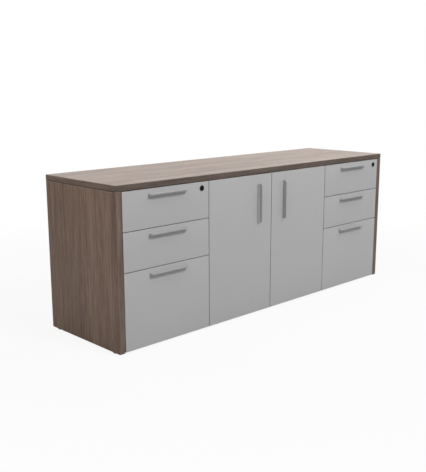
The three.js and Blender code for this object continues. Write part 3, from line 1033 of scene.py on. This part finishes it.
def carve_mortise(piece, hand, row):
    """Makes room for a hinge's cup in the back of a door."""
    low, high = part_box(f"{hand}_{row}_hinge_cup")
    margin = Vector((CUP_FLANGE, 0, (high.z - low.z - CUP_HIGH) / 2))
    low, high = low + margin, high - margin
    low.y -= CUP_GAP
    high.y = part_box(f"{hand}_door")[1].y + MM
    cutter = block("mortise", low, high)
    bevel_piece(cutter, edges_at(Y), MORTISE_ROUND, segments=2)
    carve(piece, cutter)


def make_fronts():
    for hand in HANDS:
        node = f"{hand}_door"
        door = front_board(f"{hand}_door_board", node)
        for row in HINGES:
            carve_mortise(door, hand, row)
        # Sets the painted light that brightens the door toward its top edge
        mark_painted_light_rise(door, *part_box(node))
        stand_for(door, node, grey_face_painted_light)
        for drawer in DRAWERS:
            node = f"{hand}_{drawer}_front"
            piece = front_board(f"{hand}_{drawer}_face", node)
            if drawer == "top_drawer":
                carve_lock_hole(piece, hand)
            # Sets the painted light that brightens the drawer front toward its top edge
            mark_painted_light_rise(piece, *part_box(node))
            stand_for(piece, node, grey_face_painted_light)


# Pulls


def lip_pull(name, node, more):
    """A flange on a front with a level lip along its upper edge, for fingertips to reach under."""
    low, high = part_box(node)
    low.x -= more
    high.x += more
    flange_face = high.y - PULL_FLANGE
    lip_low = high.z - PULL_LIP
    ends = (low.x, high.x)
    piece = block(name, (low.x, flange_face, low.z), high)
    with editing(piece):
        cut_level(lip_low)
        pick("FACE", lambda face: facing(Y, -1)(face) and face.calc_center_median().z > lip_low)
        extrude((0, low.y - flange_face, 0))
        bevel(edges_at(X, y=[flange_face], z=[lip_low]), PULL_FILLET, segments=6)
        bevel(edges_at(Z, x=ends, y=[low.y]), PULL_CORNER, segments=6)
        bevel(edges_at(Y, x=ends, z=[low.z]), FLANGE_CORNER, segments=4)
    soften(piece, PULL_ROUND, segments=3)
    return smooth(piece)


def make_pulls():
    """Level pulls for the drawers, and shorter upright ones for the doors, their lips to the middle."""
    nodes = [f"{hand}_{drawer}_pull" for hand in HANDS for drawer in DRAWERS]
    first = lip_pull(nodes[0] + "_lip", nodes[0], DRAWER_PULL_MORE)
    short = lip_pull("short_lip", nodes[0], 0)
    for hand, turn in zip(HANDS, (math.pi / 2, -math.pi / 2)):
        node = f"{hand}_door_pull"
        place = centre_of(node) - Matrix.Rotation(turn, 3, "Y") @ centre_of(nodes[0])
        stand_for(copy_of(short, node + "_lip", place, (0, turn, 0)), node, pull_upright)
    discard(short)
    for node, piece in repeat(first, nodes, "_lip"):
        stand_for(piece, node, pull_level)


# Steel drawers


def walls(hand):
    """The two faces that a pedestal's runners stand on, from left to right."""
    if hand == "left":
        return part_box("left_end_panel")[1].x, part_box("left_partition")[0].x
    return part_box("right_partition")[1].x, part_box("right_end_panel")[0].x


def drawer_sides(hand):
    left, right = walls(hand)
    return left + SIDE_GAP, right - SIDE_GAP


def rail_height(hand, drawer):
    return centre_of(f"{hand}_{drawer}_left_runner").z


def bead_sides(split, sides):
    """Presses a bead into the upper part of each side of the drawer being edited."""

    def is_side(face):
        place = face.calc_center_median()
        outer = any(same(place.x, side) for side in sides)
        return across(X)(face) and outer and place.z > split

    cut_level(split)
    pick("FACE", is_side)
    inset(BEAD_MARGIN, each=True)
    inset(BEAD_SLOPE, -BEAD_DEPTH, each=True)


def drawer_shell(name, hand, drawer):
    """A folded steel drawer: hemmed rim, stiffened floor and, if it is deep, beaded sides."""
    low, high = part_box(f"{hand}_{drawer}_body")
    low.x, high.x = drawer_sides(hand)
    piece = block(name, low, high)
    with editing(piece):
        pick("FACE", facing(Z, 1))
        inset(RIM)
        extrude((0, 0, -HEM))
        bpy.ops.mesh.delete(type="ONLY_FACE")
        bevel(is_fold, FOLD)
        pick("FACE", facing(Z, -1))
        inset(BEAD_MARGIN)
        inset(BEAD_SLOPE, -BEAD_DEPTH)
        if drawer == "file_drawer":
            bead_sides(rail_height(hand, drawer) + BEAD_ABOVE_RAIL, (low.x, high.x))
    solidify(piece, SHEET)
    return smooth(piece)


def drawer_rails(name, hand, drawer):
    """The two rails welded to a drawer's sides, the right-hand one with its lock lug."""
    shape = FILE_RAIL if drawer == "file_drawer" else BOX_RAIL
    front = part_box(f"{hand}_{drawer}_left_runner")[0].y - RAIL_LEAD
    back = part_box(f"{hand}_{drawer}_body")[1].y - RAIL_TAIL
    height = rail_height(hand, drawer)
    low, high = height - shape["half"], height + shape["half"]
    pieces = []
    for wall, inward in zip(walls(hand), (1, -1)):
        left, right = sorted(wall + inward * shape[edge] for edge in ("near", "far"))
        rail = block("rail", (left, front, low), (right, back, high))
        with editing(rail):
            pick("FACE", facing(X, inward))
            inset(shape["half"] - shape["stem"])
            extrude((inward * (SIDE_GAP - shape["far"]), 0, 0))
            pick("FACE", facing(X, -inward))
            groove(*RAIL_GROOVE)
        soften(rail, RAIL_ROUND)
        pieces.append(rail)
    wall = walls(hand)[1]
    lug_front = front - LUG["lead"]
    lug_back = lug_front + LUG["thick"]
    lug = block(
        "lug", (wall - LUG["far"], lug_front, height + LUG_LOW),
        (wall - LUG["near"], lug_back, height + LUG_HIGH),
    )
    soften(lug, RAIL_ROUND)
    return smooth(join(name, pieces + [lug]))


def hanging_rails(name, hand):
    """The two bars that hanging folders slide along, hooked over the drawer's ends."""
    low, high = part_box(f"{hand}_file_drawer_body")
    left, right = drawer_sides(hand)
    thick, deep = HANGER_SIZE
    front, back = low.y + SHEET, high.y - SHEET
    bars = []
    for middle in (left + HANGER_INSET, right - HANGER_INSET):
        bar = block(
            "bar", (middle - thick / 2, front, high.z - deep), (middle + thick / 2, back, high.z)
        )
        bevel_piece(bar, edges_at(X, z=[high.z - deep]), HANGER_HOOK, segments=4)
        soften(bar, RAIL_ROUND)
        bars.append(bar)
    return smooth(join(name, bars))


def channel(name, low, high, opening, lip, wall):
    """A lipped channel of folded steel along Y, opening towards one side."""
    mouth = (high if opening > 0 else low).x
    piece = block(name, low, high)
    with editing(piece):
        pick("FACE", lambda face: across(Y)(face) or facing(X, opening)(face))
        bpy.ops.mesh.delete(type="ONLY_FACE")
        for height, drop in ((high.z, -lip), (low.z, lip)):
            pick("EDGE", edges_at(Y, x=[mouth], z=[height]))
            extrude((0, 0, drop))
        bevel(is_fold, wall)
    solidify(piece, wall)
    return piece


def runner_shape(drawer):
    return FILE_RUNNER if drawer == "file_drawer" else BOX_RUNNER


def make_carriage(hand):
    """The middle members of a file drawer's runners, tied together behind the drawer."""
    node = f"{hand}_file_drawer_carriage"
    low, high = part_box(node)
    left_high, right_low = high.copy(), low.copy()
    left_high.x = low.x + CARRIAGE_FAR
    right_low.x = high.x - CARRIAGE_FAR
    middle = centre_of(node).z
    back = high.y - TIE["back"]
    wall = CARRIAGE["wall"]
    tie = block(
        "tie", (low.x + wall, back - TIE["thick"], middle - TIE["half"]),
        (high.x - wall, back, middle + TIE["half"]),
    )
    soften(tie, RAIL_ROUND)
    left = channel("member", low, left_high, 1, **CARRIAGE)
    right = channel("member", right_low, high, -1, **CARRIAGE)
    stand_for(smooth(join(f"{hand}_file_drawer_slides", [left, right, tie])), node, zinc)


def make_runners():
    """Channels on the case's walls, and the file drawers' carriages in theirs."""
    for hand in HANDS:
        for drawer in DRAWERS:
            for wall, opening in zip(HANDS, (1, -1)):
                name = f"{hand}_{drawer}_{wall}"
                node = f"{name}_runner"
                piece = channel(f"{name}_channel", *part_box(node), opening, **runner_shape(drawer))
                stand_for(smooth(piece), node, zinc)
        make_carriage(hand)


def make_drawers():
    for hand in HANDS:
        for drawer in DRAWERS:
            node = f"{hand}_{drawer}_body"
            stand_for(drawer_shell(f"{hand}_{drawer}_shell", hand, drawer), node, drawer_paint)
            wear_zinc(drawer_rails(f"{hand}_{drawer}_rails", hand, drawer), node)
        name = f"{hand}_file_drawer"
        wear_zinc(hanging_rails(f"{name}_hanging_rails", hand), f"{name}_body")


# Hinges and locks


def make_hinges():
    for hand in HANDS:
        for row in HINGES:
            for part, label in (("cup", "tray"), ("arm", "strap")):
                node = f"{hand}_{row}_hinge_{part}"
                piece = softened_solid(f"{hand}_{row}_hinge_{label}", node, HINGE_ROUND)
                stand_for(smooth(piece), node, zinc)


def lock_places(hand):
    """What gives points round a lock's axis, and the front and back of the drawer front it is in."""
    centre = JOINT_AT[f"{hand}_lock_turn"]
    low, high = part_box(f"{hand}_top_drawer_front")

    def at(y, x=0.0, z=0.0):
        return centre.x + x, y, centre.z + z

    return at, low.y, high.y


def make_bezel(hand):
    at, face, _ = lock_places(hand)
    proud = face - BEZEL_PROUD
    axis = Vector(at(proud))

    def is_rim(edge):
        reach = (middle_of(edge) - axis).xz.length
        return folds_at(Y, proud)(edge) and reach > CORE_RADIUS + MM

    bezel = rod(f"{hand}_lock_bezel", BEZEL_RADIUS, at(proud), at(face), BEZEL_SIDES)
    carve(bezel, rod("hole", CORE_RADIUS + CORE_GAP, at(proud - MM), at(face + MM), LOCK_SIDES))
    bevel_piece(bezel, is_rim, BEZEL_ROUND, segments=4)
    wear(smooth(bezel), f"{hand}_top_drawer_front", lock_black, "lock_black")


def make_core(hand):
    """The turning core with its keyway, cam and crank pin."""
    at, face, back = lock_places(hand)
    core_face = face - BEZEL_PROUD + CORE_SUNK
    barrel_end = back + BARREL_BACK
    core = rod("core", CORE_RADIUS, at(core_face), at(barrel_end), LOCK_SIDES)
    with editing(core):
        pick("FACE", facing(Y, -1))
        inset(*CORE_RIM)
        groove(CORE_RING, GROOVE, GROOVE)
    wide, tall = KEYWAY
    low = at(core_face - MM, -wide / 2, -tall / 2)
    carve(core, block("keyway", low, at(core_face + KEYWAY_DEPTH, wide / 2, tall / 2)))
    cam = rod("cam", CAM_RADIUS, at(barrel_end), at(barrel_end + CAM_THICK))
    start, end = (at(y, -CRANK, -CRANK) for y in (barrel_end, face + PIN_BACK))
    core = join(f"{hand}_lock_core", [core, cam, rod("pin", PIN_RADIUS, start, end, PIN_SIDES)])
    soften(core, CORE_ROUND)
    stand_for(smooth(core), f"{hand}_lock_plug", lock_black)


def make_clip(hand):
    at, _, back = lock_places(hand)
    clip = rod(f"{hand}_lock_clip", CLIP_RADIUS, at(back), at(back + CLIP_THICK), CLIP_SIDES)
    start, end = at(back - MM), at(back + 2 * CLIP_THICK)
    carve(clip, rod("hole", CORE_RADIUS + CORE_GAP, start, end, LOCK_SIDES))
    soften(clip, SMALL_ROUND)
    wear_zinc(smooth(clip), f"{hand}_top_drawer_front")


def make_lock_strip(hand):
    """The gang lock's lifting strip, with slots for its two guide screws."""
    node = f"{hand}_lock_bar"
    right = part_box(node)[1].x
    middle = centre_of(node).y
    strip = softened_solid(f"{hand}_lock_strip", node, STRIP_ROUND)
    wide, tall = GUIDE_SLOT
    for height in GUIDE_HEIGHTS:
        centre = height - LOCK_LIFT / 2
        slot = block(
            "slot", (right - SLOT_DEPTH, middle - wide / 2, centre - tall / 2),
            (right + MM, middle + wide / 2, centre + tall / 2),
        )
        bevel_piece(slot, edges_at(X), wide * SLOT_ROUND, segments=5)
        carve(strip, slot)
    stand_for(smooth(strip), node, zinc)


def make_locks():
    for hand in HANDS:
        make_bezel(hand)
        make_core(hand)
        make_clip(hand)
        make_lock_strip(hand)


# Fixings


def make_screw():
    """A pan-head screw's head with a cross recess, facing up from the origin."""
    head = rod("screw", SCREW_RADIUS, (0, 0, 0), (0, 0, SCREW_HIGH), SCREW_SIDES)
    bevel_piece(head, folds_at(Z, SCREW_HIGH), SCREW_ROUND)
    width, length, depth = RECESS
    for x, y in ((width, length), (length, width)):
        low, high = (-x / 2, -y / 2, SCREW_HIGH - depth), (x / 2, y / 2, SCREW_HIGH + MM)
        carve(head, block("recess", low, high))
    return smooth(head)


def drive(screw, name, node, places):
    """Copies of a screw at places, each facing its way, joined into one set."""
    heads = []
    for place, way in places:
        turn = UP.rotation_difference(Vector(way)).to_euler()
        heads.append(copy_of(screw, "head", place, turn))
    wear_zinc(join(name, heads), node)


def pull_screws(node):
    """Places of the two screws that hold a pull, on the back of its front."""
    low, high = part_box(node)
    front = node.replace("_pull", "_front" if "drawer" in node else "")
    axis = X if high.x - low.x > high.z - low.z else Z
    places = []
    for end in (low[axis] + PULL_SCREW_INSET, high[axis] - PULL_SCREW_INSET):
        place = centre_of(node)
        place.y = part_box(front)[1].y
        place[axis] = end
        places.append((place, (0, 1, 0)))
    return places


def drawer_screws(hand, drawer):
    """Places of the four screws that hold a front to its steel drawer."""
    low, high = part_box(f"{hand}_{drawer}_body")
    left, right = drawer_sides(hand)
    columns = (left + PANEL_SCREW_INSET, right - PANEL_SCREW_INSET)
    rows = (low.z + PANEL_SCREW_EDGE, high.z - PANEL_SCREW_EDGE)
    return [(Vector((x, low.y + SHEET, z)), (0, 1, 0)) for x in columns for z in rows]


def hinge_screws(hand, part, offset):
    """Places of the two screws in each hinge's flange or plate."""
    places = []
    for row in HINGES:
        node = f"{hand}_{row}_hinge_{part}"
        low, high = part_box(node)
        spot = centre_of(node)
        if part == "cup":
            spot.y, way = high.y, (0, 1, 0)
        else:
            wall, inward = (low.x, 1) if hand == "left" else (high.x, -1)
            spot.x, spot.y, way = wall + inward * PLATE_THICK, high.y - PLATE_SCREW_BACK, (inward, 0, 0)
        places += [(spot + UP * rise, way) for rise in (-offset, offset)]
    return places


def runner_screws(hand):
    """Places of the screws in all the runners of a pedestal."""
    places = []
    for drawer in DRAWERS:
        for wall, inward in zip(HANDS, (1, -1)):
            low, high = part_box(f"{hand}_{drawer}_{wall}_runner")
            web = (low.x if inward > 0 else high.x) + inward * runner_shape(drawer)["wall"]
            for share in RUNNER_SCREWS:
                place = Vector((web, low.y + share * (high.y - low.y), (low.z + high.z) / 2))
                places.append((place, (inward, 0, 0)))
    return places


def back_screws():
    """Places of the screws that hold the back to the partitions, bottom and shelf."""
    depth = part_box("back_panel")[1].y - SCREW_HIGH / 2
    places = []
    for hand in HANDS:
        places += [(centre_of(f"{hand}_partition").x, height) for height in BACK_HEIGHTS]
    for node, columns in BACK_COLUMNS.items():
        places += [(x, centre_of(node).z) for x in columns]
    return [(Vector((x, depth, z)), (0, 1, 0)) for x, z in places]


def guide_screws(hand):
    """Places of the two screws that a lock strip slides on."""
    node = f"{hand}_lock_bar"
    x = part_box(node)[1].x - LOCK_STRIP - GUIDE_PLAY
    return [(Vector((x, centre_of(node).y, height)), (-1, 0, 0)) for height in GUIDE_HEIGHTS]


def make_fixings():
    screw = make_screw()
    for hand in HANDS:
        for drawer in DRAWERS:
            places = drawer_screws(hand, drawer) + pull_screws(f"{hand}_{drawer}_pull")
            drive(screw, f"{hand}_{drawer}_screws", f"{hand}_{drawer}_body", places)
        places = hinge_screws(hand, "cup", FLANGE_SCREW) + pull_screws(f"{hand}_door_pull")
        drive(screw, f"{hand}_door_screws", f"{hand}_door", places)
        wall = f"{hand}_partition"
        drive(screw, f"{hand}_hinge_screws", wall, hinge_screws(hand, "arm", PLATE_SCREW))
        drive(screw, f"{hand}_runner_screws", wall, runner_screws(hand))
        drive(screw, f"{hand}_lock_guides", wall, guide_screws(hand))
    drive(screw, "back_screws", "back_panel", back_screws())
    discard(screw)


def make_bumpers():
    """Soft pads behind the doors, where they meet the bottom."""
    for hand, outward in zip(HANDS, (-1, 1)):
        low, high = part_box(f"{hand}_door")
        meeting = high.x if hand == "left" else low.x
        start = Vector((meeting + outward * BUMPER_INSET, high.y, centre_of("bottom_panel").z))
        end = start + Vector((0, BUMPER_HIGH, 0))
        pad = rod(f"{hand}_door_bumper", BUMPER_RADIUS, start, end)
        bevel_piece(pad, folds_at(Y, end.y), BUMPER_HIGH / 2, segments=5)
        wear(smooth(pad), f"{hand}_door", rubber, "glide_plastic")


# Studio

CAMERA_PLACE = (-2.5725, -2.5045, 1.089)
CAMERA_TURN = math.radians(-44.0)
CAMERA_TILT = math.radians(78.024)
CAMERA_ROLL = math.radians(-0.132)
CAMERA_LENS = 55.23
WHITE = (1, 1, 1, 1)
FLOOR_SIZE = 30.0
FLOOR_COLOR = (0.55, 0.55, 0.55, 1)
FLOOR_SHOWN = 0.9  # share of plain white in what the camera sees of the floor near the object
FLOOR_NEAR = 1.3
FLOOR_FAR = 2.6
ROOM_LIGHT = 0.1
LAMPS = {
    "overhead": {"at": (1.6, -0.1, 2.9), "size": (3.2, 2.4), "power": 66},
    "front": {"at": (0.4, -4.5, 4.9), "size": (1.7, 1.4), "power": 289},
    "side": {"at": (-2.7, -0.4, 2.8), "size": (2.0, 1.8), "power": 52},
    "rear": {"at": (-1.6, 3.4, 2.4), "size": (2.4, 1.4), "power": 34},
}
LAMP_AIM = (0, 0, 0.4)


def seen_rays(tree):
    """1 for rays that show the background, straight or in a reflection, and 0 for its light."""
    path = put(tree, "LightPath", {}).outputs
    straight = math_of(tree, "MAXIMUM", path["Is Camera Ray"], path["Is Glossy Ray"])
    return math_of(tree, "MAXIMUM", straight, path["Is Transmission Ray"])


def make_floor():
    deselect()
    bpy.ops.mesh.primitive_plane_add(size=FLOOR_SIZE)
    floor = named("studio_floor")
    material = bpy.data.materials.new("pale_floor")
    material.use_nodes = True
    tree = material.node_tree
    tree.nodes.remove(tree.nodes["Principled BSDF"])
    lit = put(tree, "BsdfDiffuse", {"Color": FLOOR_COLOR}).outputs[0]
    white = put(tree, "Emission", {"Strength": 1.0}).outputs[0]
    place = put(tree, "TexCoord", {}).outputs["Object"]
    reach = put(tree, "VectorMath", {0: place}, operation="LENGTH").outputs["Value"]
    share = spread(tree, reach, FLOOR_NEAR, FLOOR_FAR, FLOOR_SHOWN, 1.0)
    camera_ray = put(tree, "LightPath", {}).outputs["Is Camera Ray"]
    factor = math_of(tree, "MULTIPLY", share, camera_ray)
    shader = put(tree, "MixShader", {0: factor, 1: lit, 2: white})
    feed(tree, tree.nodes["Material Output"].inputs["Surface"], shader.outputs[0])
    floor.data.materials.append(material)


def make_room():
    world = bpy.data.worlds.new("studio")
    bpy.context.scene.world = world
    world.use_nodes = True
    tree = world.node_tree
    soft = tree.nodes["Background"]
    soft.inputs["Color"].default_value = WHITE
    soft.inputs["Strength"].default_value = ROOM_LIGHT
    white = put(tree, "Background", {"Color": WHITE, "Strength": 1.0})
    shader = put(tree, "MixShader", {0: seen_rays(tree), 1: soft.outputs[0], 2: white.outputs[0]})
    feed(tree, tree.nodes["World Output"].inputs["Surface"], shader.outputs[0])


def make_lamps():
    for name, lamp in LAMPS.items():
        light = bpy.data.lights.new(name, "AREA")
        light.shape = "RECTANGLE"
        light.size, light.size_y = lamp["size"]
        light.energy = lamp["power"]
        holder = bpy.data.objects.new(name, light)
        holder.location = lamp["at"]
        holder.rotation_euler = (Vector(LAMP_AIM) - holder.location).to_track_quat("-Z", "Y").to_euler()
        bpy.context.scene.collection.objects.link(holder)


def make_camera():
    camera = bpy.data.objects.new("camera", bpy.data.cameras.new("camera"))
    camera.data.lens = CAMERA_LENS
    turn = Matrix.Rotation(CAMERA_TURN, 4, "Z") @ Matrix.Rotation(CAMERA_TILT, 4, "X")
    roll = Matrix.Rotation(CAMERA_ROLL, 4, "Z")
    camera.matrix_world = Matrix.Translation(CAMERA_PLACE) @ turn @ roll
    bpy.context.scene.collection.objects.link(camera)
    bpy.context.scene.camera = camera


make_case()
make_feet()
make_shelf_pins()
make_fronts()
make_pulls()
make_runners()
make_drawers()
make_hinges()
make_locks()
make_fixings()
make_bumpers()
make_floor()
make_room()
make_lamps()
make_camera()
bpy.context.scene.view_settings.view_transform = "Standard"
